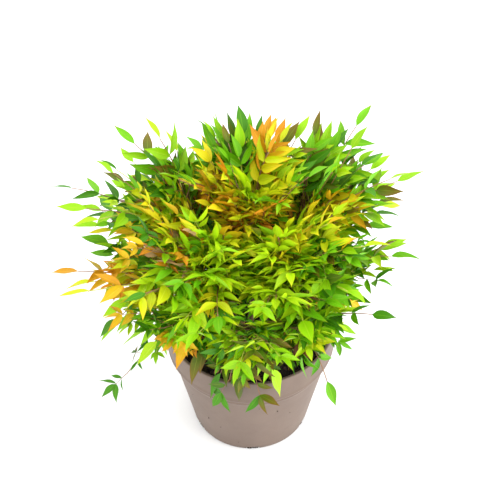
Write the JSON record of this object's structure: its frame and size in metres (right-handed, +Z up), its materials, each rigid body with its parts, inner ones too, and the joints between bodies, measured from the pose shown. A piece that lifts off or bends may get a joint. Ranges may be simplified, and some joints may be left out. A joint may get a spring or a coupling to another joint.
{
  "type": "heavenly bamboo in a nursery pot",
  "caption": "Compact shrub with arching compound leaves of pointed leaflets, green to yellow and orange, on thin canes in a round tapered nursery pot.",
  "frame": {"origin": "middle of the pot's flat underside", "axes": "+Z up along the pot's axis, -Y towards the side that the picture shows, +X to the right as seen from there"},
  "size_m": [0.469, 0.3639, 0.462],
  "materials": {
    "pot_plastic": "matte",
    "potting_mix": "rough, crumbly",
    "cane_bark": "rough bark",
    "leaf_green": "satin"
  },
  "bodies": {
    "root": {"pot": "pot_plastic", "potting_mix": "potting_mix", "cane_middle": "cane_bark", "cane_inner_1": "cane_bark", "cane_inner_2": "cane_bark", "cane_inner_3": "cane_bark", "cane_inner_4": "cane_bark", "cane_inner_5": "cane_bark", "cane_outer_1": "cane_bark", "cane_outer_2": "cane_bark", "cane_outer_3": "cane_bark", "cane_outer_4": "cane_bark", "cane_outer_5": "cane_bark", "cane_outer_6": "cane_bark", "cane_outer_7": "cane_bark", "cane_outer_8": "cane_bark", "foliage_middle": "leaf_green", "foliage_inner_1": "leaf_green", "foliage_inner_2": "leaf_green", "foliage_inner_3": "leaf_green", "foliage_inner_4": "leaf_green", "foliage_inner_5": "leaf_green", "foliage_outer_1": "leaf_green", "foliage_outer_2": "leaf_green", "foliage_outer_3": "leaf_green", "foliage_outer_4": "leaf_green", "foliage_outer_5": "leaf_green", "foliage_outer_6": "leaf_green", "foliage_outer_7": "leaf_green", "foliage_outer_8": "leaf_green"}
  },
  "joints": []
}
